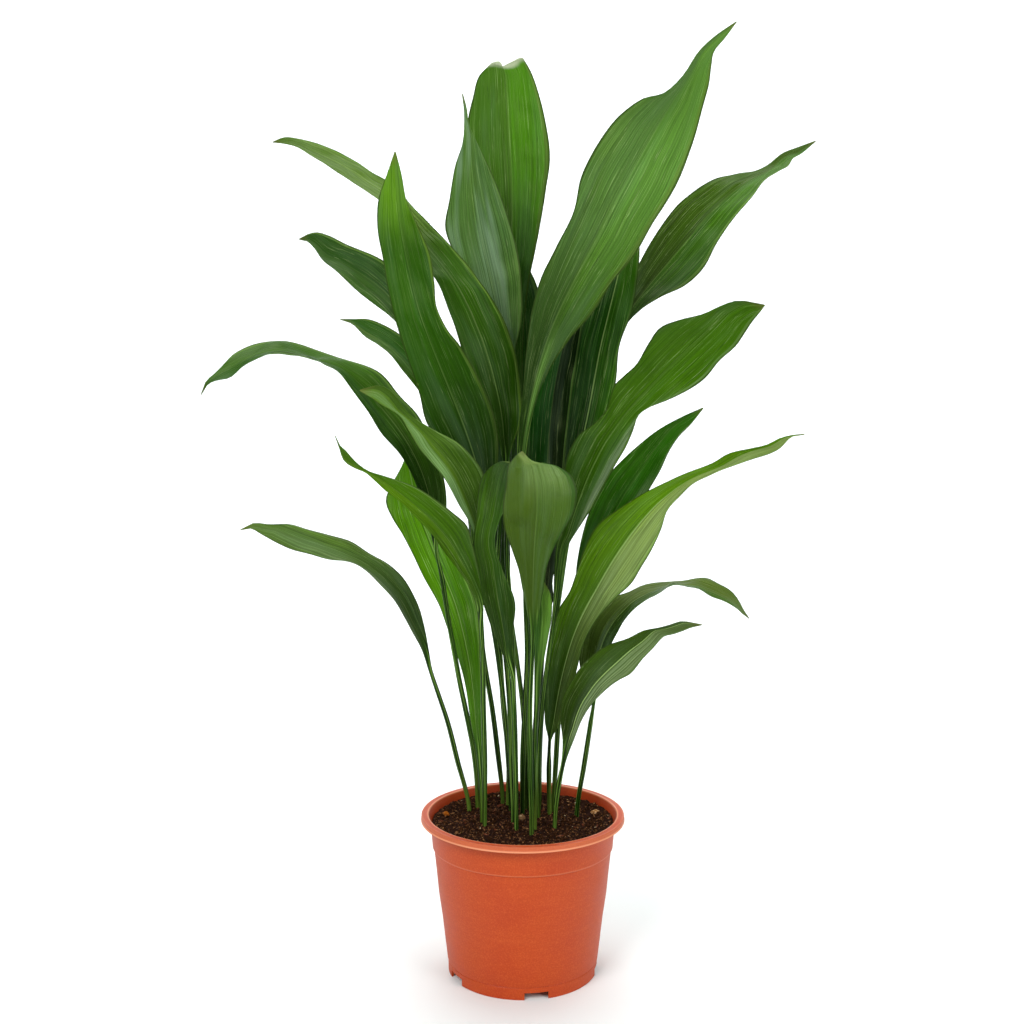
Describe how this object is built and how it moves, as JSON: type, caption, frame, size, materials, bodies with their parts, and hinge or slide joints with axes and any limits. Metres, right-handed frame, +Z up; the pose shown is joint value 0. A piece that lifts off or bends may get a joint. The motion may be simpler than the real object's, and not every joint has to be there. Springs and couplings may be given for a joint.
{
  "type": "potted aspidistra plant",
  "caption": "Cast iron plant with long upright and arching blades on thin stalks, growing from dark soil in a round tapered nursery pot with a rolled lip.",
  "frame": {"origin": "centre of the pot's underside, on the ground", "axes": "+Z up along the pot's axis, +X to the right and -Y towards the viewer of the picture"},
  "size_m": [0.5742, 0.4186, 0.8805],
  "materials": {
    "pot": "satin",
    "soil": "matte",
    "leaf_dark": "satin",
    "leaf_green": "satin",
    "leaf_bright": "satin",
    "leaf_pale": "satin"
  },
  "bodies": {
    "root": {"pot": "pot", "soil": "soil", "leaf_01": "leaf_green", "leaf_02": "leaf_green", "leaf_03": "leaf_pale", "leaf_04": "leaf_green", "leaf_05": "leaf_green", "leaf_06": "leaf_green", "leaf_07": "leaf_dark", "leaf_08": "leaf_green", "leaf_09": "leaf_green", "leaf_10": "leaf_green", "leaf_11": "leaf_bright", "leaf_12": "leaf_green", "leaf_13": "leaf_dark", "leaf_14": "leaf_pale", "leaf_15": "leaf_dark", "leaf_16": "leaf_green", "leaf_17": "leaf_green", "leaf_18": "leaf_green", "leaf_19": "leaf_dark", "leaf_20": "leaf_bright", "leaf_21": "leaf_dark", "leaf_22": "leaf_pale", "leaf_23": "leaf_dark", "leaf_24": "leaf_green"}
  },
  "joints": []
}
